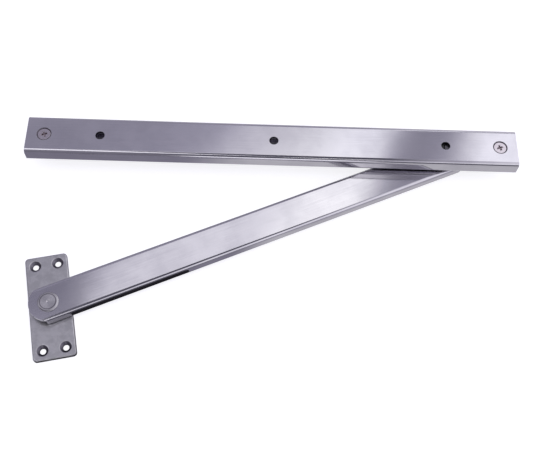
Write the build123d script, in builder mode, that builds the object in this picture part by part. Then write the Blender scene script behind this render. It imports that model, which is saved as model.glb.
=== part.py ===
# A flap stay: an arm whose slider runs in a folded track, with a fixing plate at its far end.
# The origin is the middle hole of the track, on the outer face of the web.
# X runs along the track, and Z points up, from the arm to the track.
from build123d import *
from math import radians, tan
import os

# Track channel, folded from one strip
track_length = 355.0
track_width = 30.0
track_height = 12.0
track_sheet = 2.0
track_inner_radius = 1.0
track_slot_width = 9.0
fixing_hole_radius = 3.2
fixing_hole_inset = 52.5

# Stop screws, countersunk with a cross recess
screw_inset = 12.5
screw_radius = 2.5
screw_head_radius = 4.7
screw_length = 9.0
screw_sunk = 0.5
recess_width = 1.4
recess_span = 4.6
recess_depth = 1.8
recess_taper = 12.0
recess_turn = 20.0
countersink_angle = 90.0

# End stop blocks and their rubber buffers
stop_length = 20.0
stop_edge_break = 0.5
buffer_thickness = 5.0
buffer_width = 22.0
buffer_corner_radius = 1.5
peg_radius = 2.5
peg_length = 4.0

# Slider shoe with its pin and washers
shoe_length = 36.0
shoe_corner_radius = 3.0
shoe_from_buffer = 2.0
tongue_drop = 0.2
pin_radius = 3.0
pin_head_radius = 5.5
pin_head_height = 2.4
pin_tail_radius = 5.2
pin_tail_height = 1.8
pin_edge_break = 0.4
slider_washer_radius = 10.0
tail_washer_radius = 7.5
tail_washer_thickness = 1.0

# Arm, an upside-down U folded from one strip
arm_centres = 305.0
arm_width = 25.4
arm_end_radius = 13.2
arm_flange_reach = 5.0
arm_depth = 6.5
arm_sheet = 2.0
arm_inner_radius = 0.5
arm_angle = 203.8

# Pivot rivet with its spacer and washer
rivet_radius = 4.0
rivet_head_radius = 7.1
rivet_head_height = 1.2
rivet_bevel_width = 0.9
rivet_bevel_height = 0.8
rivet_mark_radius = 0.9
rivet_mark_depth = 0.5
rivet_tail_radius = 6.0
spacer_radius = 7.0
pivot_washer_radius = 9.0
pivot_washer_thickness = 1.0

# Fixing plate
plate_width = 28.6
plate_length = 75.0
plate_thickness = 3.0
plate_corner_radius = 2.5
plate_edge_break = 0.6
plate_angle = 12.0
plate_hole_radius = 2.1
plate_countersink_radius = 4.1
plate_hole_side_inset = 6.7
plate_hole_end_inset = 6.8

# Clearances
running_clearance = 0.05
seat_clearance = 0.1
slide_clearance = 0.2
rivet_to_track = 0.5
arm_to_plate = 0.7

# Heights, from the web of the track down to the underside of the plate
web_underside = -track_sheet
track_underside = -track_height
lip_top = track_underside + track_sheet
channel_middle = (web_underside + lip_top) / 2
tongue_underside = track_underside - tongue_drop
arm_top = track_underside - rivet_to_track - rivet_head_height - seat_clearance
arm_web_underside = arm_top - arm_sheet
tail_washer_top = arm_web_underside - seat_clearance
tail_seat = tail_washer_top - tail_washer_thickness
pivot_washer_top = arm_web_underside - seat_clearance
spacer_top = pivot_washer_top - pivot_washer_thickness
plate_top = arm_top - arm_depth - arm_to_plate
plate_underside = plate_top - plate_thickness

# Sizes that follow from the ones above
track_inner_width = track_width - 2 * track_sheet
countersink_slope = tan(radians(countersink_angle / 2))
screw_seat_radius = screw_head_radius + screw_sunk * countersink_slope + running_clearance
shoe_height = web_underside - lip_top - 2 * slide_clearance
shoe_top = web_underside - slide_clearance
pin_seat_depth = pin_head_height + 2 * seat_clearance

# Places along the track
screw_place = track_length / 2 - screw_inset
fixing_place = track_length / 2 - fixing_hole_inset
stop_face = screw_place - stop_length / 2
buffer_face = stop_face - buffer_thickness
slider_place = buffer_face - shoe_from_buffer - shoe_length / 2
ends = {"left": -1, "right": 1}

# Planes of the arm and the plate
arm_direction = Vector(1, 0, 0).rotate(Axis.Z, arm_angle)
arm_plane = Plane(origin=(slider_place, 0, arm_top), x_dir=arm_direction)
pivot = arm_plane.origin + arm_direction * arm_centres
plate_direction = Vector(1, 0, 0).rotate(Axis.Z, plate_angle)
plate_plane = Plane(origin=(pivot.X, pivot.Y, plate_top), x_dir=plate_direction)
plate_back = Plane(origin=(pivot.X, pivot.Y, plate_underside), x_dir=plate_direction, z_dir=(0, 0, -1))

os.makedirs("parts", exist_ok=True)


def section_through(x, y):
    """An upright plane through a turning axis: its X is the radius and its Y the height."""
    return Plane(origin=(x, y, 0), x_dir=(1, 0, 0), z_dir=(0, -1, 0))


def upright_axis(x, y):
    """The axis that a turned piece is made about."""
    return Axis((x, y, 0), (0, 0, 1))


# Track channel: a strip with four bends, whose lips turn in and leave the slot between them
with BuildPart() as track_channel:
    with BuildSketch(Plane.YZ.offset(-track_length / 2)):
        with BuildLine():
            FilletPolyline(
                (track_slot_width / 2, track_underside),
                (track_width / 2, track_underside),
                (track_width / 2, 0),
                (-track_width / 2, 0),
                (-track_width / 2, track_underside),
                (-track_slot_width / 2, track_underside),
                radius=track_inner_radius + track_sheet,
            )
            offset(amount=track_sheet, side=Side.LEFT)
        make_face()
    extrude(amount=track_length)
    with Locations((-fixing_place, 0), (0, 0), (fixing_place, 0)):
        Hole(fixing_hole_radius, depth=track_sheet)
    with Locations((-screw_place, 0), (screw_place, 0)):
        CounterSinkHole(
            screw_radius + running_clearance,
            screw_seat_radius,
            depth=track_sheet,
            counter_sink_angle=countersink_angle,
        )
track_channel.part.label = "track_channel"
export_step(track_channel.part, "parts/track_channel.step")

for end, side in ends.items():
    # Stop screw: a turned countersunk head and shank, and a pressed cross recess
    with BuildPart() as stop_screw:
        head_underside = -screw_sunk - (screw_head_radius - screw_radius) / countersink_slope
        with BuildSketch(section_through(side * screw_place, 0)):
            with BuildLine():
                Polyline(
                    (0, -screw_sunk),
                    (screw_head_radius, -screw_sunk),
                    (screw_radius, head_underside),
                    (screw_radius, -screw_length),
                    (0, -screw_length),
                    close=True,
                )
            make_face()
        revolve(axis=upright_axis(side * screw_place, 0))
        with BuildSketch(Plane((side * screw_place, 0, -screw_sunk))):
            Rectangle(recess_span, recess_width, rotation=recess_turn)
            Rectangle(recess_width, recess_span, rotation=recess_turn)
        extrude(amount=-recess_depth, taper=recess_taper, mode=Mode.SUBTRACT)
    stop_screw.part.label = f"stop_screw_{end}"
    export_step(stop_screw.part, f"parts/stop_screw_{end}.step")

    # End stop: a block in the mouth of the track, tapped for the screw and bored for the peg
    with BuildPart() as end_stop:
        stop_height = web_underside - lip_top - 2 * seat_clearance
        with BuildSketch(Plane((side * screw_place, 0, lip_top + seat_clearance))):
            Rectangle(stop_length, track_inner_width - 2 * seat_clearance)
        extrude(amount=stop_height)
        chamfer(end_stop.edges().filter_by(Axis.X), track_inner_radius)
        chamfer(end_stop.edges().filter_by(Axis.Y), stop_edge_break)
        with Locations((side * screw_place, 0)):
            CounterSinkHole(
                screw_radius + running_clearance,
                screw_seat_radius,
                depth=track_height,
                counter_sink_angle=countersink_angle,
            )
        with Locations(Plane(origin=(side * stop_face, 0, channel_middle), z_dir=(-side, 0, 0))):
            Hole(peg_radius + running_clearance, depth=peg_length + seat_clearance)
    end_stop.part.label = f"end_stop_{end}"
    export_step(end_stop.part, f"parts/end_stop_{end}.step")

    # Buffer: a moulded rubber pad whose peg is pushed into the end stop
    with BuildPart() as buffer:
        buffer_seat = Plane(origin=(side * stop_face, 0, channel_middle), x_dir=(0, 1, 0), z_dir=(-side, 0, 0))
        with BuildSketch(buffer_seat):
            RectangleRounded(buffer_width, shoe_height, buffer_corner_radius)
        extrude(amount=buffer_thickness)
        with BuildSketch(buffer_seat):
            Circle(peg_radius)
        extrude(amount=-peg_length)
    buffer.part.label = f"buffer_{end}"
    export_step(buffer.part, f"parts/buffer_{end}.step")

# Slider shoe: a moulded block that fills the track, with a tongue through the slot
with BuildPart() as slider_shoe:
    with BuildSketch(Plane((slider_place, 0, shoe_top - shoe_height))):
        RectangleRounded(shoe_length, track_inner_width - 2 * slide_clearance, shoe_corner_radius)
    extrude(amount=shoe_height)
    flat_faces = slider_shoe.faces().sort_by(Axis.Z)
    chamfer(flat_faces[0].edges() + flat_faces[-1].edges(), track_inner_radius)
    with BuildSketch(Plane((slider_place, 0, tongue_underside))):
        RectangleRounded(shoe_length, track_slot_width - 2 * slide_clearance, shoe_corner_radius)
    extrude(until=Until.NEXT)
    with Locations((slider_place, 0, shoe_top)):
        CounterBoreHole(pin_radius + running_clearance, pin_head_radius + slide_clearance, pin_seat_depth)
slider_shoe.part.label = "slider_shoe"
export_step(slider_shoe.part, "parts/slider_shoe.step")

# Slider pin: its head sits in the shoe and its tail is riveted under the arm
with BuildPart() as slider_pin:
    head_top = shoe_top - seat_clearance
    head_seat = head_top - pin_head_height
    tail_end = tail_seat - pin_tail_height
    with BuildSketch(section_through(slider_place, 0)):
        with BuildLine():
            Polyline(
                (0, head_top),
                (pin_head_radius - pin_edge_break, head_top),
                (pin_head_radius, head_top - pin_edge_break),
                (pin_head_radius, head_seat),
                (pin_radius, head_seat),
                (pin_radius, tail_seat),
                (pin_tail_radius, tail_seat),
                (pin_tail_radius, tail_end + pin_edge_break),
                (pin_tail_radius - pin_edge_break, tail_end),
                (0, tail_end),
                close=True,
            )
        make_face()
    revolve(axis=upright_axis(slider_place, 0))
slider_pin.part.label = "slider_pin"
export_step(slider_pin.part, "parts/slider_pin.step")

# Arm: folded to an upside-down U, its flanges stopped short, and both ends cropped round
with BuildPart() as arm:
    arm_tip = arm_plane.origin - arm_direction * arm_end_radius
    with BuildSketch(Plane(origin=arm_tip, x_dir=arm_plane.y_dir, z_dir=arm_direction)):
        with BuildLine():
            FilletPolyline(
                (-arm_width / 2, -arm_depth),
                (-arm_width / 2, 0),
                (arm_width / 2, 0),
                (arm_width / 2, -arm_depth),
                radius=arm_inner_radius + arm_sheet,
            )
            offset(amount=arm_sheet, side=Side.RIGHT)
        make_face()
    extrude(amount=arm_centres + 2 * arm_end_radius)
    for pin_centre, outward in ((arm_plane.origin, -arm_direction), (pivot, arm_direction)):
        flange_end = pin_centre + outward * arm_flange_reach - Vector(0, 0, arm_sheet)
        with BuildSketch(Plane(origin=flange_end, x_dir=outward)):
            Rectangle(arm_end_radius, arm_width, align=(Align.MIN, Align.CENTER))
        extrude(amount=-arm_depth, mode=Mode.SUBTRACT)
    with BuildSketch(Plane(origin=(arm_plane.origin + pivot) / 2, x_dir=arm_direction)):
        SlotCenterToCenter(arm_centres, 2 * arm_end_radius)
    extrude(amount=-arm_depth, mode=Mode.INTERSECT)
    with Locations(arm_plane):
        with Locations((0, 0)):
            Hole(pin_radius + running_clearance, depth=arm_sheet)
        with Locations((arm_centres, 0)):
            Hole(rivet_radius + running_clearance, depth=arm_sheet)
arm.part.label = "arm"
export_step(arm.part, "parts/arm.step")

# Pivot rivet: a wide bevelled head on the arm, and a tail spread into the plate's underside
with BuildPart() as pivot_rivet:
    head_seat = arm_top + seat_clearance
    head_top = head_seat + rivet_head_height
    spread = rivet_tail_radius - rivet_radius
    with BuildSketch(section_through(pivot.X, pivot.Y)):
        with BuildLine():
            Polyline(
                (0, head_top - rivet_mark_depth),
                (rivet_mark_radius, head_top),
                (rivet_head_radius - rivet_bevel_width, head_top),
                (rivet_head_radius, head_top - rivet_bevel_height),
                (rivet_head_radius, head_seat),
                (rivet_radius, head_seat),
                (rivet_radius, plate_underside + spread / countersink_slope),
                (rivet_tail_radius, plate_underside),
                (0, plate_underside),
                close=True,
            )
        make_face()
    revolve(axis=upright_axis(pivot.X, pivot.Y))
pivot_rivet.part.label = "pivot_rivet"
export_step(pivot_rivet.part, "parts/pivot_rivet.step")

# Fixing plate: broken upper edges, four screw holes, and the rivet's seat underneath
with BuildPart() as fixing_plate:
    with BuildSketch(plate_plane):
        RectangleRounded(plate_width, plate_length, plate_corner_radius)
    extrude(amount=-plate_thickness)
    chamfer(fixing_plate.faces().sort_by(Axis.Z)[-1].edges(), plate_edge_break)
    hole_columns = plate_width - 2 * plate_hole_side_inset
    hole_rows = plate_length - 2 * plate_hole_end_inset
    with Locations(plate_plane):
        with GridLocations(hole_columns, hole_rows, 2, 2):
            CounterSinkHole(plate_hole_radius, plate_countersink_radius, counter_sink_angle=countersink_angle)
    with Locations(plate_back):
        CounterSinkHole(
            rivet_radius + running_clearance,
            rivet_tail_radius + running_clearance,
            counter_sink_angle=countersink_angle,
        )
fixing_plate.part.label = "fixing_plate"
export_step(fixing_plate.part, "parts/fixing_plate.step")

# Washers and spacer: place, outer radius, bore radius, underside and top
rings = {
    "slider_washer": (arm_plane.origin, slider_washer_radius, pin_radius, arm_top + seat_clearance, tongue_underside),
    "tail_washer": (arm_plane.origin, tail_washer_radius, pin_radius, tail_seat, tail_washer_top),
    "pivot_spacer": (pivot, spacer_radius, rivet_radius, plate_top, spacer_top),
    "pivot_washer": (pivot, pivot_washer_radius, rivet_radius, spacer_top, pivot_washer_top),
}
for name, (place, outer_radius, shank_radius, low, high) in rings.items():
    with BuildPart() as washer:
        with BuildSketch(Plane((place.X, place.Y, low))):
            Circle(outer_radius)
            Circle(shank_radius + running_clearance, mode=Mode.SUBTRACT)
        extrude(amount=high - low)
    washer.part.label = name
    export_step(washer.part, f"parts/{name}.step")
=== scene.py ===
# %% [markdown]
# # A flap stay in satin stainless steel
# A flap stay holds a flap or a door open. A slider runs in a folded track, an arm hangs from the slider,
# and a fixing plate is riveted to the arm's far end. The solids come from the frame, in metres and in
# their places, so this script is about how each surface was finished and how a studio would light it.

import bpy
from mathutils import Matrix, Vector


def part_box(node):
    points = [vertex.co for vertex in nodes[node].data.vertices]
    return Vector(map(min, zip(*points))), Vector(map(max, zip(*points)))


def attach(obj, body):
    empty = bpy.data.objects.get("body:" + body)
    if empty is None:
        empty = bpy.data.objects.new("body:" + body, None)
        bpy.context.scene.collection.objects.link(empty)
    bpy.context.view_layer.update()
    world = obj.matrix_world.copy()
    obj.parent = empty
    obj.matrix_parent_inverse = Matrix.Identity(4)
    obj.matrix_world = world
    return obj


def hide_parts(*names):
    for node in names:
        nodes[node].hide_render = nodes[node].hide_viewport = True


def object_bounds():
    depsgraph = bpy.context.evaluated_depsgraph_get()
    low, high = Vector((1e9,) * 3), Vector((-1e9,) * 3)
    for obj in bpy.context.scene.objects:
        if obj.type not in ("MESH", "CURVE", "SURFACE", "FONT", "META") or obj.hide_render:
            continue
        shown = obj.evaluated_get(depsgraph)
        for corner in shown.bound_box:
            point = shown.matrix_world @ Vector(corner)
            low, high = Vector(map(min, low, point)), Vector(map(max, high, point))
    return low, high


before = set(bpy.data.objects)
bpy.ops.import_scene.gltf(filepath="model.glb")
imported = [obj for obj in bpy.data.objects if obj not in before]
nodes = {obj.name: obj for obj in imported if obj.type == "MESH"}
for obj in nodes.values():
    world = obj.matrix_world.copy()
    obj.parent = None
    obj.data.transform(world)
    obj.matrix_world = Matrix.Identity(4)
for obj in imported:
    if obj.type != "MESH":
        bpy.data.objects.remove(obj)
box_at_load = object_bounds()
print("CAD nodes:", ", ".join(sorted(nodes)))

# %% [markdown]
# ## Helpers
# Screens give colours as sRGB hex values, but light adds up in linear numbers, so one function turns hex
# into linear. A shader is a tree of nodes, and one function adds a node, gives its settings and makes its
# links in a single call. A finish starts from a place: the Object coordinates, which stay on the metal
# when it moves, because every object of the frame has its origin at the origin of the part.

# %% Colours and nodes
from math import cos, pi, radians, sin

import bmesh
import bpy
from mathutils import Matrix, Vector

MM = 0.001


def linear(hex_colour):
    """Turns an sRGB hex value such as '#C8C6CC' into the linear colour that a shader takes."""
    channels = [int(hex_colour[i:i + 2], 16) / 255 for i in (1, 3, 5)]
    return [c / 12.92 if c <= 0.04045 else ((c + 0.055) / 1.055) ** 2.4 for c in channels] + [1.0]


def in_use(sockets, name=0):
    """A socket by its place or its name, among those that the node's settings leave in use."""
    used = [each for each in sockets if each.enabled]
    return used[name] if isinstance(name, int) else next(each for each in used if each.name == name)


def add_node(tree, kind, inputs=None, **settings):
    """Adds a shader node. An input is linked where it is given a node or an output, and set elsewhere."""
    node = tree.nodes.new("ShaderNode" + kind)
    for name, value in settings.items():
        setattr(node, name, value)
    for name, value in (inputs or {}).items():
        source = in_use(value.outputs) if isinstance(value, bpy.types.Node) else value
        if isinstance(source, bpy.types.NodeSocket):
            tree.links.new(source, in_use(node.inputs, name))
        else:
            in_use(node.inputs, name).default_value = source
    return node


def new_finish(name):
    """A material with an empty tree, and the output that gives the place on the piece."""
    material = bpy.data.materials.new(name)
    material.use_nodes = True
    tree = material.node_tree
    tree.nodes.clear()
    return material, tree, in_use(add_node(tree, "TexCoord").outputs, "Object")


def distance_from_axes(tree, place, offset_x, offset_y=0.0):
    """The distance to the nearest of the upright axes at plus and minus these offsets along X and Y."""
    folded = add_node(tree, "VectorMath", {0: place}, operation="ABSOLUTE")
    step = add_node(tree, "VectorMath", {0: folded, 1: (offset_x, offset_y, 0)}, operation="SUBTRACT")
    flat = add_node(tree, "VectorMath", {0: step, 1: (1, 1, 0)}, operation="MULTIPLY")
    return in_use(add_node(tree, "VectorMath", {0: flat}, operation="LENGTH").outputs, "Value")


print("mid grey #808080 in linear light:", round(linear("#808080")[0], 3))

# %% [markdown]
# ## Satin stainless sheet
# The track and the arm are folded from stainless strip that was run under a fine abrasive belt. The belt
# leaves long shallow scratches in one direction. Across them the steel is rough, so a lamp smears out,
# and along them it is nearly a mirror, so the edge of a lamp stays crisp. An image of scratches would
# show that only from one distance. Here the shader's anisotropy does the smearing, and noise that is
# stretched along the grain adds the few scratches that are deep enough to see. Real ones are about
# 0.05 mm apart, which is far too fine for this picture, so they are drawn 0.35 mm apart.

# %% The brushed finish
STEEL = "#CCCAD0"
WORN_STEEL = "#C0BEC5"
GRAIN_PITCH = 0.35 * MM
GRAIN_LENGTH = 45 * MM
SCRATCH_DEPTH = 0.02 * MM
CLOUD_SIZE = 28 * MM
FOLD_SOFTNESS = 0.25 * MM
SCRATCHED, POLISHED, DULL = 0.110, 0.085, 0.4
DULL_RIM = 0.1 * MM
# The shader's grain lies across the tangent, and a quarter of a turn lays it along.
ALONG_TANGENT = 0.25
# A direction that lies exactly along an end face's normal has no place on that face, so it leans a hair.
LEAN = 0.02


def brushed_stainless(name, grain_angle=0.0, dull_shaded_discs=()):
    """Brushed stainless with its grain turned from X in degrees, and dull discs of painted shade about
    upright axes.
    """
    material, tree, place = new_finish(name)
    angle = radians(grain_angle)
    turned = add_node(
        tree, "Mapping", {"Vector": place, "Rotation": (0, 0, angle)}, vector_type="TEXTURE"
    )
    stretched = add_node(
        tree, "Mapping",
        {"Vector": turned, "Scale": (1 / GRAIN_LENGTH, 1 / GRAIN_PITCH, 1 / GRAIN_PITCH)},
    )
    scratches = add_node(
        tree, "TexNoise", {"Vector": stretched, "Scale": 1.0, "Detail": 3.0, "Roughness": 0.6}
    )
    clouds = add_node(
        tree, "TexNoise", {"Vector": turned, "Scale": 1 / CLOUD_SIZE, "Detail": 3.0, "Roughness": 0.55}
    )
    blend = add_node(tree, "Mix", {"Factor": 0.35, "A": clouds, "B": scratches})
    worn = add_node(
        tree, "MapRange", {"Value": blend, "From Min": 0.35, "From Max": 0.62},
        interpolation_type="SMOOTHSTEP",
    )
    tone = add_node(
        tree, "Mix", {"Factor": worn, "A": linear(WORN_STEEL), "B": linear(STEEL)}, data_type="RGBA"
    )
    gloss = add_node(
        tree, "MapRange",
        {"Value": blend, "From Min": 0.3, "From Max": 0.7, "To Min": SCRATCHED, "To Max": POLISHED},
    )
    # Inside each disc the steel is dull, and its tone is painted shade.
    for offset, radius, shade_tone in dull_shaded_discs:
        inside = add_node(
            tree, "MapRange",
            {
                "Value": distance_from_axes(tree, place, offset),
                "From Min": radius + DULL_RIM, "From Max": radius - DULL_RIM,
            },
        )
        tone = add_node(
            tree, "Mix", {"Factor": inside, "A": tone, "B": linear(shade_tone)}, data_type="RGBA"
        )
        gloss = add_node(tree, "Mix", {"Factor": inside, "A": gloss, "B": DULL})
    soft_edges = add_node(tree, "Bevel", {"Radius": FOLD_SOFTNESS}, samples=4)
    relief = add_node(
        tree, "Bump",
        {"Height": scratches, "Normal": soft_edges, "Strength": 0.10, "Distance": SCRATCH_DEPTH},
    )
    grain = add_node(
        tree, "VectorTransform", {"Vector": (cos(angle), sin(angle), LEAN)},
        vector_type="VECTOR", convert_from="OBJECT", convert_to="WORLD",
    )
    shader = add_node(
        tree, "BsdfPrincipled",
        {
            "Base Color": tone, "Roughness": gloss, "Normal": relief, "Tangent": grain,
            "Metallic": 1.0, "Anisotropic": 0.6, "Anisotropic Rotation": ALONG_TANGENT,
        },
    )
    add_node(tree, "OutputMaterial", {"Surface": shader})
    return material


# %% [markdown]
# The arm lies at an angle to the track, and its grain runs along the arm, not along X. The frame
# gives both ends of the arm, the slider pin and the pivot rivet, and so the angle. The two screw seats
# and the three holes in the track were cut after the belt, so they are dull, and they are darkened with
# painted shade, as falls in the countersinks and down the holes.

# %% Track and arm
# Painted shade for the countersinks of the screw seats and for the holes, with the radii it reaches.
SEAT_SHADE = "#66616A"
SEAT_RADIUS = 5.3 * MM
HOLE_SHADE = "#37353D"
HOLE_RADIUS = 3.35 * MM
HOLE_OFFSET = 125 * MM


def centre(node):
    """The middle of a node's box."""
    low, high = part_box(node)
    return (low + high) / 2


def dress(finish, *names):
    """Gives a finish to whole nodes of the frame."""
    for name in names:
        materials = nodes[name].data.materials
        materials.clear()
        materials.append(finish)
    print(finish.name, "on", ", ".join(names))


slider_axis = centre("slider_pin")
pivot_axis = centre("pivot_rivet")
arm_run = slider_axis - pivot_axis
arm_angle = Vector((1, 0)).angle_signed(arm_run.xy) * -180 / pi
print("the arm runs at", round(arm_angle, 1), "degrees to the track")

screw_offset = centre("stop_screw_right").x
dull_shaded_discs = (
    (screw_offset, SEAT_RADIUS, SEAT_SHADE),
    (HOLE_OFFSET, HOLE_RADIUS, HOLE_SHADE),
    (0.0, HOLE_RADIUS, HOLE_SHADE),
)
dress(brushed_stainless("belt_brushed_stainless_track", dull_shaded_discs=dull_shaded_discs), "track_channel")
dress(brushed_stainless("belt_brushed_stainless_arm", grain_angle=arm_angle), "arm")

# %% [markdown]
# ## Tumbled stainless plate
# The fixing plate was blanked from thicker sheet and tumbled with abrasive chips, which rounds its edges
# and leaves a dull, cloudy surface with no one direction. Clouds of about 7 mm in tone and gloss, and a
# fine pitted relief, give that. The Bevel node rounds its edges in the light, as the chips did. The chips
# don't reach into the countersinks, so these stay darker, by their distance from the holes' axes.

# %% The tumbled finish
TUMBLE_CLOUD = 7 * MM
TUMBLE_GRIT = 0.5 * MM
PIT_DEPTH = 0.04 * MM
TUMBLE_ROUNDING = 0.7 * MM
COUNTERSINK_STEEL = "#7C7982"
COUNTERSINK_OUTSIDE, COUNTERSINK_INSIDE = 4.1 * MM, 3.6 * MM
PLATE_HOLE_X = 7.6 * MM
PLATE_HOLE_Y = 30.7 * MM
PLATE_ANGLE = radians(12)


def tumbled_stainless(name, middle):
    """Dull stainless steel with clouds, fine pits, soft edges and dark countersinks about a middle."""
    material, tree, place = new_finish(name)
    on_plate = add_node(
        tree, "Mapping",
        {"Vector": place, "Location": (middle.x, middle.y, 0), "Rotation": (0, 0, PLATE_ANGLE)},
        vector_type="TEXTURE",
    )
    sunk = add_node(
        tree, "MapRange",
        {
            "Value": distance_from_axes(tree, on_plate, PLATE_HOLE_X, PLATE_HOLE_Y),
            "From Min": COUNTERSINK_OUTSIDE, "From Max": COUNTERSINK_INSIDE,
        },
    )
    clouds = add_node(
        tree, "TexNoise", {"Vector": place, "Scale": 1 / TUMBLE_CLOUD, "Detail": 4.0, "Roughness": 0.6}
    )
    grit = add_node(
        tree, "TexNoise", {"Vector": place, "Scale": 1 / TUMBLE_GRIT, "Detail": 2.0, "Roughness": 0.6}
    )
    patches = add_node(
        tree, "MapRange", {"Value": clouds, "From Min": 0.38, "From Max": 0.62},
        interpolation_type="SMOOTHSTEP",
    )
    tone = add_node(
        tree, "Mix", {"Factor": patches, "A": linear("#B4B3B7"), "B": linear("#C6C5C8")}, data_type="RGBA"
    )
    tone = add_node(
        tree, "Mix", {"Factor": sunk, "A": tone, "B": linear(COUNTERSINK_STEEL)}, data_type="RGBA"
    )
    gloss = add_node(tree, "MapRange", {"Value": patches, "To Min": 0.34, "To Max": 0.28})
    soft_edges = add_node(tree, "Bevel", {"Radius": TUMBLE_ROUNDING}, samples=6)
    relief = add_node(
        tree, "Bump", {"Height": grit, "Normal": soft_edges, "Strength": 0.25, "Distance": PIT_DEPTH}
    )
    shader = add_node(
        tree, "BsdfPrincipled",
        {"Base Color": tone, "Roughness": gloss, "Normal": relief, "Metallic": 1.0},
    )
    add_node(tree, "OutputMaterial", {"Surface": shader})
    return material


dress(tumbled_stainless("tumbled_stainless_plate", pivot_axis), "fixing_plate")

# %% [markdown]
# ## Turned rivets, spacers and washers
# The rivet, the pin and the metal rings are lathe work. The tool leaves fine rings about the axis, so
# the grain runs round, and a highlight opens into a bow tie. The grain's direction at each place is the
# axis crossed with the way out from it. The rings are drawn 0.25 mm apart, coarser than they are. A dark
# ring on the rivet's head is painted shade, standing in for the shade of a step in the head, and the
# pin's darker tones are painted shade, as falls on it inside the track.

# %% The turned finish
RING_PITCH = 0.25 * MM
RING_DEPTH = 0.03 * MM
# A ring of painted shade on the rivet's head, by its distance from the axis.
SHADE_RING_STARTS, SHADE_RING_FULL = 4.9 * MM, 5.2 * MM
SHADE_RING_THINS, SHADE_RING_ENDS = 5.4 * MM, 6.0 * MM
SHADE_RING_TONE = "#77747B"


def turned_stainless(name, axis, tones, shade_ring=False):
    """Stainless steel in two close tones, with lathe rings about an upright axis, and a ring of painted
    shade.
    """
    material, tree, place = new_finish(name)
    from_axis = add_node(tree, "Mapping", {"Vector": place, "Location": (-axis.x, -axis.y, 0)})
    outward = add_node(tree, "VectorMath", {0: from_axis, 1: (1, 1, 0)}, operation="MULTIPLY")
    radius = in_use(add_node(tree, "VectorMath", {0: outward}, operation="LENGTH").outputs, "Value")
    turns = add_node(tree, "Math", {0: radius, 1: 1 / RING_PITCH}, operation="MULTIPLY")
    rings = add_node(tree, "TexNoise", {"W": turns, "Scale": 1.0, "Detail": 2.0}, noise_dimensions="1D")
    stains = add_node(tree, "TexNoise", {"Vector": place, "Scale": 1 / TUMBLE_CLOUD, "Detail": 4.0})
    tone = add_node(
        tree, "Mix", {"Factor": stains, "A": linear(tones[0]), "B": linear(tones[1])}, data_type="RGBA"
    )
    # The ring's darker tone is painted shade.
    if shade_ring:
        starts = add_node(
            tree, "MapRange", {"Value": radius, "From Min": SHADE_RING_STARTS, "From Max": SHADE_RING_FULL}
        )
        ends = add_node(
            tree, "MapRange", {"Value": radius, "From Min": SHADE_RING_ENDS, "From Max": SHADE_RING_THINS}
        )
        pressed = add_node(tree, "Math", {0: starts, 1: ends}, operation="MULTIPLY")
        tone = add_node(
            tree, "Mix", {"Factor": pressed, "A": tone, "B": linear(SHADE_RING_TONE)}, data_type="RGBA"
        )
    gloss = add_node(
        tree, "MapRange",
        {"Value": rings, "From Min": 0.3, "From Max": 0.7, "To Min": 0.26, "To Max": 0.34},
    )
    soft_edges = add_node(tree, "Bevel", {"Radius": FOLD_SOFTNESS}, samples=4)
    relief = add_node(
        tree, "Bump", {"Height": rings, "Normal": soft_edges, "Strength": 0.15, "Distance": RING_DEPTH}
    )
    around = add_node(tree, "VectorMath", {0: outward, 1: (0, 0, 1)}, operation="CROSS_PRODUCT")
    grain = add_node(
        tree, "VectorTransform", {"Vector": around},
        vector_type="VECTOR", convert_from="OBJECT", convert_to="WORLD",
    )
    shader = add_node(
        tree, "BsdfPrincipled",
        {
            "Base Color": tone, "Roughness": gloss, "Normal": relief, "Tangent": grain,
            "Metallic": 1.0, "Anisotropic": 0.5, "Anisotropic Rotation": ALONG_TANGENT,
        },
    )
    add_node(tree, "OutputMaterial", {"Surface": shader})
    return material


# The pin's darker pair of tones is painted shade, as falls on it inside the track.
clean, shaded_pin_tones = ("#ABA9AE", "#C6C4C8"), ("#4A484E", "#615F65")
dress(turned_stainless("turned_stainless_rivet", pivot_axis, clean, shade_ring=True), "pivot_rivet")
dress(turned_stainless("turned_stainless_spacer", pivot_axis, clean), "pivot_spacer")
dress(turned_stainless("turned_stainless_washer", slider_axis, clean), "tail_washer")
dress(turned_stainless("shaded_stainless_pin", slider_axis, shaded_pin_tones), "slider_pin")

# %% [markdown]
# ## Plain finishes
# The rest is plain stock. The end stops are zinc castings, grey and slightly pebbled. The slider shoe is
# moulded acetal, black with a low sheen, and the washers are natural nylon, a milky white that light
# enters a little way. The buffers are black rubber, with hardly any shine. They differ in a few numbers,
# so one function makes them all: two tones mixed by a noise of the right size, which is the relief too.

# %% Zinc, acetal, nylon and rubber
def plain_stock(name, tones, grain_size, relief_depth, **constants):
    """A material with two close tones and a fine relief, and the shader's constants given by name."""
    material, tree, place = new_finish(name)
    grains = add_node(tree, "TexNoise", {"Vector": place, "Scale": 1 / grain_size, "Detail": 3.0})
    tone = add_node(
        tree, "Mix", {"Factor": grains, "A": linear(tones[0]), "B": linear(tones[1])}, data_type="RGBA"
    )
    soft_edges = add_node(tree, "Bevel", {"Radius": FOLD_SOFTNESS}, samples=4)
    relief = add_node(
        tree, "Bump", {"Height": grains, "Normal": soft_edges, "Strength": 0.4, "Distance": relief_depth}
    )
    shader = add_node(tree, "BsdfPrincipled", {"Base Color": tone, "Normal": relief})
    for constant, value in constants.items():
        in_use(shader.inputs, constant.replace("_", " ")).default_value = value
    add_node(tree, "OutputMaterial", {"Surface": shader})
    return material


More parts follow.
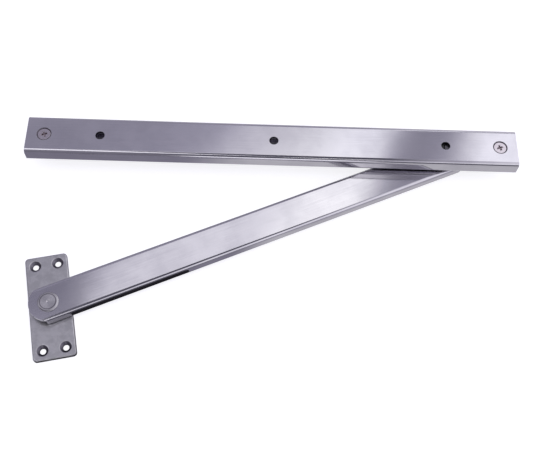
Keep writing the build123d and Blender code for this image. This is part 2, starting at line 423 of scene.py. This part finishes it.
zinc = plain_stock("cast_zinc", ("#94959A", "#A9AAAE"), 1.2 * MM, 0.05 * MM, Metallic=1.0, Roughness=0.42)
acetal = plain_stock("moulded_black_acetal", ("#121214", "#1A1A1C"), 0.6 * MM, 0.02 * MM, Roughness=0.36)
nylon = plain_stock(
    "moulded_natural_nylon", ("#D3CDBB", "#DED9CA"), 3 * MM, 0.02 * MM,
    Roughness=0.42, Subsurface_Weight=0.3, Subsurface_Scale=1 * MM,
)
rubber = plain_stock("moulded_black_rubber", ("#161617", "#1E1E1F"), 0.4 * MM, 0.04 * MM, Roughness=0.78)

dress(zinc, "end_stop_left", "end_stop_right")
dress(acetal, "slider_shoe")
dress(nylon, "slider_washer", "pivot_washer")
dress(rubber, "buffer_left", "buffer_right")

# %% [markdown]
# ## Stop screws
# An M5 countersunk screw with a cross recess holds each end stop. A heading machine presses the head
# and its recess from wire, and rollers form the thread. The screws of the frame are plain, so these
# replace them. The face starts as a circle round a cross. The cross is pushed down and narrowed, as the
# punch leaves it, and the rim is drawn down into the cone and the shank, one ring after another. The
# thread is a triangle that is spun with a rise, and closed at both ends.

# %% Screw sizes
RIM_ROUNDING = 0.3 * MM
RECESS_HALF_SPAN = 2.3 * MM
RECESS_HALF_WIDTH = 0.7 * MM
RECESS_DEPTH = 1.2 * MM
RECESS_FLOOR_SHARE = 0.55
RECESS_TURN = radians(20)
THREAD_RADIUS = 2.5 * MM
THREAD_ROOT = 2.05 * MM
THREAD_PITCH = 0.8 * MM
THREAD_HALF = THREAD_PITCH * 0.42
THREAD_BELOW_HEAD = 0.9 * MM
STEPS_PER_TURN = 24
THREAD_TURNS = 6
NECK_HEIGHT = 0.5 * MM
TIP_CHAMFER = 0.4 * MM
print("the thread is", round(THREAD_PITCH * THREAD_TURNS / MM, 1), "mm long")


# %% Press the head
def press_head(shape, head_radius):
    """A round face with a cross pushed into it, about the origin, and the edges of its rim."""
    rim = bmesh.ops.create_circle(shape, segments=64, radius=head_radius)["verts"]
    grid = bmesh.ops.create_grid(shape, x_segments=3, y_segments=3, size=1.0)["verts"]
    for vertex in grid:
        for axis in (0, 1):
            half = RECESS_HALF_SPAN if abs(vertex.co[axis]) > 0.5 else RECESS_HALF_WIDTH
            vertex.co[axis] = half if vertex.co[axis] > 0 else -half
    corners = [v for v in grid if min(abs(v.co.x), abs(v.co.y)) > RECESS_HALF_WIDTH * 1.1]
    bmesh.ops.delete(shape, geom=corners, context="VERTS")
    outline = [e for e in shape.edges if len(e.link_faces) < 2]
    cross = list(shape.faces)
    bmesh.ops.triangle_fill(shape, edges=outline, use_beauty=True)
    pushed = bmesh.ops.extrude_face_region(shape, geom=cross)["geom"]
    floor_corners = [v for v in pushed if isinstance(v, bmesh.types.BMVert)]
    bmesh.ops.delete(shape, geom=cross, context="FACES")
    bmesh.ops.scale(shape, verts=floor_corners, vec=(RECESS_FLOOR_SHARE, RECESS_FLOOR_SHARE, 1))
    bmesh.ops.translate(shape, verts=floor_corners, vec=(0, 0, -RECESS_DEPTH))
    return [e for e in shape.edges if e.verts[0] in rim and e.verts[1] in rim]


# %% Draw the head down to the shank
def draw_down(shape, ring, start_radius, profile):
    """Draws a ring of edges down through radii and heights, and closes the end."""
    radius, height = start_radius, 0.0
    for next_radius, next_height in profile:
        drawn = bmesh.ops.extrude_edge_only(shape, edges=ring)["geom"]
        ring = [e for e in drawn if isinstance(e, bmesh.types.BMEdge)]
        corners = [v for v in drawn if isinstance(v, bmesh.types.BMVert)]
        share = next_radius / radius
        bmesh.ops.scale(shape, verts=corners, vec=(share, share, 1))
        bmesh.ops.translate(shape, verts=corners, vec=(0, 0, next_height - height))
        radius, height = next_radius, next_height
    bmesh.ops.edgeloop_fill(shape, edges=ring)


# %% Roll the thread
def roll_thread(shape, start_height):
    """A triangular ridge wound down about the axis, closed at both ends."""
    profile = ((THREAD_ROOT, THREAD_HALF), (THREAD_RADIUS, 0), (THREAD_ROOT, -THREAD_HALF))
    corners = [shape.verts.new((radius, 0, start_height + height)) for radius, height in profile]
    first = shape.faces.new(corners)
    bmesh.ops.spin(
        shape, geom=[first, *first.edges, *first.verts], cent=(0, 0, 0), axis=(0, 0, 1),
        dvec=(0, 0, -THREAD_PITCH / STEPS_PER_TURN), angle=2 * pi * THREAD_TURNS,
        steps=STEPS_PER_TURN * THREAD_TURNS,
    )


# %% Put a screw together
def stop_screw(node):
    """A finished screw in the place of a node of the frame, with its size from that node's box."""
    low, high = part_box(node)
    head_radius = (high.x - low.x) / 2
    length = high.z - low.z
    shape = bmesh.new()
    rim = press_head(shape, head_radius)
    throat = THREAD_RADIUS - head_radius
    draw_down(shape, rim, head_radius, (
        (THREAD_RADIUS, throat), (THREAD_ROOT, throat - NECK_HEIGHT),
        (THREAD_ROOT, -length + TIP_CHAMFER), (THREAD_ROOT - TIP_CHAMFER, -length),
    ))
    on_rim = {v for v in shape.verts if abs(v.co.z) < 1e-6 and v.co.length > head_radius * 0.99}
    rim = [e for e in shape.edges if on_rim.issuperset(e.verts)]
    bmesh.ops.bevel(
        shape, geom=rim, offset=RIM_ROUNDING, segments=3, profile=0.5, affect="EDGES", material=-1
    )
    roll_thread(shape, throat - THREAD_BELOW_HEAD)
    bmesh.ops.recalc_face_normals(shape, faces=shape.faces)
    bmesh.ops.rotate(shape, verts=shape.verts, matrix=Matrix.Rotation(RECESS_TURN, 3, "Z"))
    middle = centre(node)
    bmesh.ops.translate(shape, verts=shape.verts, vec=(middle.x, middle.y, high.z))
    open_edges = sum(not e.is_manifold for e in shape.edges)
    mesh = bpy.data.meshes.new(node + "_pressed")
    shape.to_mesh(mesh)
    shape.free()
    piece = bpy.data.objects.new(node + "_pressed", mesh)
    bpy.context.scene.collection.objects.link(piece)
    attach(piece, "track")
    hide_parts(node)
    print(piece.name, len(mesh.polygons), "faces,", open_edges, "open edges")
    return piece


# %% [markdown]
# The heads are bright from the dies, with a warm grey tint, and the recess is dulled by oxide and grease
# that no cloth reaches. The dull part follows the recess by its distance from the screw's axis and its
# depth. Both screws stand at the same distance from the middle of the track, so one finish serves both.

# %% The screw finish
SCREW_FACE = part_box("stop_screw_left")[1].z
GRIME_TOP = SCREW_FACE - 0.05 * MM
GRIME_FULL = SCREW_FACE - 0.6 * MM
STAIN_SIZE = 1.5 * MM
DIE_MARK_DEPTH = 0.03 * MM


def cold_headed_stainless(name, offset):
    """Bright pressed steel, dull in the recesses of two screws at plus and minus an offset along X."""
    material, tree, place = new_finish(name)
    split = add_node(tree, "SeparateXYZ", {"Vector": place})
    near = add_node(
        tree, "MapRange",
        {
            "Value": distance_from_axes(tree, place, offset),
            "From Min": RECESS_HALF_SPAN * 1.1, "From Max": RECESS_HALF_SPAN * 0.85,
        },
    )
    deep = add_node(
        tree, "MapRange",
        {"Value": in_use(split.outputs, "Z"), "From Min": GRIME_TOP, "From Max": GRIME_FULL},
    )
    grime = add_node(tree, "Math", {0: near, 1: deep}, operation="MULTIPLY")
    stains = add_node(tree, "TexNoise", {"Vector": place, "Scale": 1 / STAIN_SIZE, "Detail": 3.0})
    bright = add_node(
        tree, "Mix", {"Factor": stains, "A": linear("#B9B2B8"), "B": linear("#D2CBD1")}, data_type="RGBA"
    )
    tone = add_node(
        tree, "Mix", {"Factor": grime, "A": bright, "B": linear("#A0959A")}, data_type="RGBA"
    )
    gloss = add_node(tree, "MapRange", {"Value": grime, "To Min": 0.17, "To Max": 0.35})
    soft_edges = add_node(tree, "Bevel", {"Radius": FOLD_SOFTNESS}, samples=4)
    relief = add_node(
        tree, "Bump",
        {"Height": stains, "Normal": soft_edges, "Strength": 0.2, "Distance": DIE_MARK_DEPTH},
    )
    shader = add_node(
        tree, "BsdfPrincipled",
        {"Base Color": tone, "Roughness": gloss, "Normal": relief, "Metallic": 1.0},
    )
    add_node(tree, "OutputMaterial", {"Surface": shader})
    return material


headed = cold_headed_stainless("cold_headed_stainless", screw_offset)
for node in ("stop_screw_left", "stop_screw_right"):
    stop_screw(node).data.materials.append(headed)

# %% [markdown]
# ## The studio
# Metal has little colour of its own: it shows the room. The room here is a dim lavender grey with a long
# softbox overhead, and it is painted on the world by direction. A direction that points up is written as
# how far it leans along X and along Y for each metre of height, which is where it would meet a ceiling
# one metre up. On that ceiling a softbox is a patch with soft borders.

# %% Ceiling coordinates
ROOM_STRENGTH = 1.7
LOWEST_HEIGHT = 0.02
world = bpy.data.worlds.new("studio_room")
bpy.context.scene.world = world
world.use_nodes = True
room = world.node_tree
room.nodes.clear()
direction = add_node(room, "TexCoord")
toward = add_node(room, "SeparateXYZ", {"Vector": in_use(direction.outputs, "Generated")})
up = in_use(toward.outputs, "Z")
height = add_node(room, "Math", {0: up, 1: LOWEST_HEIGHT}, operation="MAXIMUM")
along = add_node(room, "Math", {0: in_use(toward.outputs, "X"), 1: height}, operation="DIVIDE")
back = add_node(room, "Math", {0: in_use(toward.outputs, "Y"), 1: height}, operation="DIVIDE")
print(world.name, "has its lowest ceiling ray", round(1 / LOWEST_HEIGHT), "m out")


def slanted(share, offset):
    """A coordinate along X that shifts by a share of the way back from an offset."""
    step = add_node(room, "Math", {0: back, 1: offset}, operation="SUBTRACT")
    return add_node(room, "Math", {0: step, 1: share, 2: along}, operation="MULTIPLY_ADD")


def lay_patch(below, value, tones, *borders):
    """Lays a patch of light over what is below. Its tones follow a value, and each border fades it in."""
    low = tones[0][0]
    span = max(tones[-1][0] - low, 0.001)
    where = add_node(room, "MapRange", {"Value": value, "From Min": low, "From Max": low + span})
    ramp = add_node(room, "ValToRGB", {"Fac": where})
    elements = ramp.color_ramp.elements
    elements.remove(elements[-1])
    for index, (place, tone) in enumerate(tones):
        element = elements[0] if index == 0 else elements.new((place - low) / span)
        element.position = (place - low) / span
        element.color = linear(tone)
    cover = None
    for measure, start, end in borders:
        reach = {"Value": measure, "From Min": start, "From Max": end}
        edge = add_node(room, "MapRange", reach, interpolation_type="SMOOTHSTEP")
        cover = add_node(room, "Math", {0: cover, 1: edge}, operation="MULTIPLY") if cover else edge
    if cover is None:
        return ramp
    return add_node(room, "Mix", {"Factor": cover, "A": below, "B": ramp}, data_type="RGBA")


# %% [markdown]
# The long softbox hangs askew over the track, so its edges cross the steel at a slant, and a dark gap at
# the right parts it from a second one. Its brightest part is low on the right, over the arm. In front of
# it the room is dark, and this draws the dark line along the front folds. A white card by the lens lights
# the track's front flange where the arm mirrors it, and a panel at the left draws the bright line on the
# track's front fold. Near the horizon the room is dim on the left and lighter towards the right, and a
# small lamp low in front shows in the rounded front edges.

# %% Softboxes
left_edge = slanted(-0.78, 0.63)
right_edge = slanted(-0.40, 0.63)
front_edge = add_node(room, "Math", {0: along, 1: -0.30, 2: back}, operation="MULTIPLY_ADD")
panel_edge = slanted(0.437, 0.0)
sideways, backward = in_use(toward.outputs, "X"), in_use(toward.outputs, "Y")
light = lay_patch(None, left_edge, (
    (-0.25, "#84828F"), (-0.07, "#8A8896"), (-0.045, "#9290A0"), (-0.012, "#C2C1C8"),
))
light = lay_patch(light, right_edge, (
    (0.03, "#C5C4C9"), (0.10, "#D5D5DA"), (0.145, "#ECECF2"), (0.184, "#DADAE0"), (0.203, "#888694"),
    (0.23, "#797783"), (0.28, "#868492"), (0.305, "#D1D0D6"), (0.33, "#ECECF2"),
), (right_edge, 0.02, 0.06))
light = lay_patch(
    light, back, ((0.0, "#D7D6DC"),),
    (left_edge, -0.03, 0.0), (right_edge, 0.12, 0.08), (back, 0.60, 0.57),
)
light = lay_patch(
    light, back, ((0.0, "#FFFFFF"),),
    (right_edge, 0.07, 0.12), (right_edge, 0.205, 0.185), (back, 0.60, 0.57),
)
light = lay_patch(light, along, (
    (-0.25, "#77757F"), (-0.05, "#4E4D57"), (0.16, "#4A4952"), (0.26, "#A5A3AD"), (0.36, "#D5D4DA"),
), (front_edge, 0.42, 0.37))
light = lay_patch(
    light, back, ((0.0, "#FFFFFF"),),
    (back, -0.49, -0.53), (back, -0.72, -0.68), (along, 0.03, 0.08), (along, 0.20, 0.16),
)
light = lay_patch(
    light, back, ((0.0, "#72707E"),),
    (along, -0.195, -0.225), (back, 0.33, 0.36), (back, 0.50, 0.46),
)
light = lay_patch(
    light, back, ((0.0, "#9593A0"),),
    (panel_edge, -0.08, -0.12), (back, 0.36, 0.34), (back, 0.0, 0.1),
)
light = lay_patch(
    light, back, ((0.0, "#F0EFF5"),),
    (panel_edge, -0.10, -0.13), (back, 0.18, 0.14), (back, -0.38, -0.33),
)
light = lay_patch(light, sideways, (
    (-0.9, "#797783"), (0.0, "#918F9E"), (0.5, "#C6C5CA"), (0.9, "#A5A3AD"),
), (up, 0.40, 0.28))
light = lay_patch(light, sideways, (
    (-0.20, "#6A6872"), (0.0, "#57565F"), (0.15, "#4A4952"), (0.42, "#4A4952"), (0.60, "#8F8D98"),
), (up, 0.55, 0.45), (backward, -0.20, -0.40))
light = lay_patch(
    light, back, ((0.0, "#F0EFF5"),),
    (up, 0.42, 0.36), (backward, -0.7, -0.8), (sideways, -0.10, -0.06), (sideways, 0.16, 0.12),
)
print(len(room.nodes), "nodes paint the room")

# %% [markdown]
# The camera itself sees plain white. Strength 1 is white, and the object gets no more light for it.

# %% White for the camera
rays = add_node(room, "LightPath")
seen = add_node(room, "Background", {"Color": linear("#FFFFFF"), "Strength": 1.0})
lit = add_node(room, "Background", {"Color": light, "Strength": ROOM_STRENGTH})
choose = add_node(room, "MixShader", {0: in_use(rays.outputs, "Is Camera Ray"), 1: lit, 2: seen})
add_node(room, "OutputWorld", {"Surface": choose})
print("the camera sees white, and the steel sees", world.name)

# %% [markdown]
# ## Floor
# The floor is white paper, lit so that the camera sees it pure white and only a trace of shade close
# under the object. Steel that faces down shows the paper too, as a painted glow, dimmer on the left and
# lighter on the right, as one side lamp would leave it. Right under the track a shade is painted on the
# paper, as it would fall under a closed slot, and steel sees it painted almost black there, so that the
# holes in the web look dark. Each border of the painted shade starts at one distance from the track's
# middle and is full at the next.

# %% Lay a flat piece
def flat_piece(name, size_x, size_y, place, angle=0.0):
    """A flat stage piece with its size and its place in its mesh."""
    mesh = bpy.data.meshes.new(name)
    shape = bmesh.new()
    bmesh.ops.create_grid(shape, x_segments=1, y_segments=1, size=0.5)
    bmesh.ops.scale(shape, verts=shape.verts, vec=(size_x, size_y, 1))
    bmesh.ops.rotate(shape, verts=shape.verts, matrix=Matrix.Rotation(angle, 3, "Z"))
    bmesh.ops.translate(shape, verts=shape.verts, vec=place)
    shape.to_mesh(mesh)
    shape.free()
    piece = bpy.data.objects.new(name, mesh)
    bpy.context.scene.collection.objects.link(piece)
    return piece


FLOOR_SIZE = 8.0
FLOOR_GAP = 0.1 * MM
floor_height = box_at_load[0].z - FLOOR_GAP
floor = flat_piece("floor", FLOOR_SIZE, FLOOR_SIZE, (0, 0, floor_height))
print("the paper lies at", round(floor_height / MM, 1), "mm")

# %% Painted shade under the track
paper, tree, place = new_finish("white_paper")
spot = add_node(tree, "SeparateXYZ", {"Vector": place})
across, sideward = in_use(spot.outputs, "Y"), in_use(spot.outputs, "X")
from_middle = add_node(tree, "Math", {0: sideward}, operation="ABSOLUTE")
shaded = None
for measure, starts, full in (
    (across, -7 * MM, -4.5 * MM), (across, 22 * MM, 13 * MM), (from_middle, 176 * MM, 167 * MM)
):
    reach = {"Value": measure, "From Min": starts, "From Max": full}
    edge = add_node(tree, "MapRange", reach, interpolation_type="SMOOTHSTEP")
    shaded = add_node(tree, "Math", {0: shaded, 1: edge}, operation="MULTIPLY") if shaded else edge

# %% What the camera sees of the paper
# In the painted shade the paper is darker and hardly glows.
OPEN_GLOW, SHADED_GLOW = 0.78, 0.05
paper_tone = add_node(
    tree, "Mix", {"Factor": shaded, "A": linear("#B9B8C2"), "B": linear("#77767F")}, data_type="RGBA"
)
matt = add_node(tree, "BsdfDiffuse", {"Color": paper_tone})
glow_strength = add_node(
    tree, "MapRange", {"Value": shaded, "To Min": OPEN_GLOW, "To Max": SHADED_GLOW}
)
glow = add_node(tree, "Emission", {"Color": linear("#FFFFFF"), "Strength": glow_strength})
seen = add_node(tree, "AddShader", {0: matt, 1: glow})
print("the paper glows at", OPEN_GLOW, "in the open and", SHADED_GLOW, "in the shade")

# %% What steel sees of the paper
# The paper seen in steel is a painted reflection: a glow, dimmer to the left, and almost black in the
# painted shade.
SLANT = 0.65
DIM_UNTIL, LIGHT_FROM = -90 * MM, -35 * MM
slant = add_node(tree, "Math", {0: across, 1: SLANT, 2: sideward}, operation="MULTIPLY_ADD")
side = add_node(
    tree, "MapRange", {"Value": slant, "From Min": DIM_UNTIL, "From Max": LIGHT_FROM},
    interpolation_type="SMOOTHSTEP",
)
mirrored_tone = add_node(
    tree, "Mix", {"Factor": side, "A": linear("#9491A0"), "B": linear("#D5D4D9")}, data_type="RGBA"
)
mirrored_tone = add_node(
    tree, "Mix", {"Factor": shaded, "A": mirrored_tone, "B": linear("#3A3940")}, data_type="RGBA"
)
mirrored = add_node(tree, "Emission", {"Color": mirrored_tone, "Strength": 1.0})
rays = add_node(tree, "LightPath")
glossy = add_node(tree, "MixShader", {0: in_use(rays.outputs, "Is Glossy Ray"), 1: matt, 2: mirrored})
choose = add_node(tree, "MixShader", {0: in_use(rays.outputs, "Is Camera Ray"), 1: glossy, 2: seen})
add_node(tree, "OutputMaterial", {"Surface": choose})
floor.data.materials.append(paper)
print(paper.name, "on", floor.name)

# %% [markdown]
# A photographer lays a black card just outside the picture, or takes it out afterwards, to give steel a
# dark edge. This one lies in front of the arm's left half. Only reflections show it.

# %% Black card
CARD_LENGTH = 126 * MM
CARD_WIDTH = 70 * MM
CARD_START = -30 * MM
CARD_THICKNESS = 0.05 * MM
CARD_OFFSET = 13 * MM
arm_way = arm_run.normalized()
arm_side = Vector((arm_way.y, -arm_way.x, 0))
card_place = pivot_axis + arm_way * (CARD_START + CARD_LENGTH / 2)
card_place += arm_side * (CARD_OFFSET + CARD_WIDTH / 2)
card_place.z = floor_height + CARD_THICKNESS
card = flat_piece("black_card", CARD_LENGTH, CARD_WIDTH, card_place, radians(arm_angle))
card.visible_camera = False
card.visible_diffuse = False
card.visible_shadow = False
black, tree, _ = new_finish("black_card_paper")
matt = add_node(tree, "BsdfDiffuse", {"Color": linear("#38383B")})
add_node(tree, "OutputMaterial", {"Surface": matt})
card.data.materials.append(black)
print(card.name, "starts", round(CARD_OFFSET / MM), "mm from the arm's middle line")

# %% [markdown]
# ## Camera
# The camera stands where the photographer stood, found from the edges and holes of the track, the arm
# and the plate, and its lens gives a picture 550 pixels wide a focal length of 835 of those pixels. The
# three angles are in degrees, and the photographer held the camera a little askew.

# %% Camera
PHOTO_WIDTH = 550
FOCAL_PIXELS = 835.0
BELOW_HORIZON, TURNED, ROLLED = 64.148, -3.756, 4.931
STANDS_AT = (-14.66 * MM, -321.99 * MM, 514.33 * MM)
camera = bpy.data.objects.new("camera", bpy.data.cameras.new("camera"))
bpy.context.scene.collection.objects.link(camera)
bpy.context.scene.camera = camera
camera.data.sensor_width = 36.0
camera.data.sensor_fit = "HORIZONTAL"
camera.data.lens = camera.data.sensor_width * FOCAL_PIXELS / PHOTO_WIDTH
camera.data.clip_start = 0.01
camera.data.clip_end = 50.0
look_down = Matrix.Rotation(radians(90 - BELOW_HORIZON), 4, "X")
turn = Matrix.Rotation(radians(TURNED), 4, "Z")
roll = Matrix.Rotation(radians(ROLLED), 4, "Z")
camera.matrix_world = Matrix.Translation(STANDS_AT) @ turn @ look_down @ roll
print("the lens is", round(camera.data.lens, 1), "mm long")

# %% [markdown]
# ## Finish
# The Standard view shows each colour as it is written. The finished pieces must stay within the
# real size.

# %% Colours
bpy.context.scene.view_settings.view_transform = "Standard"
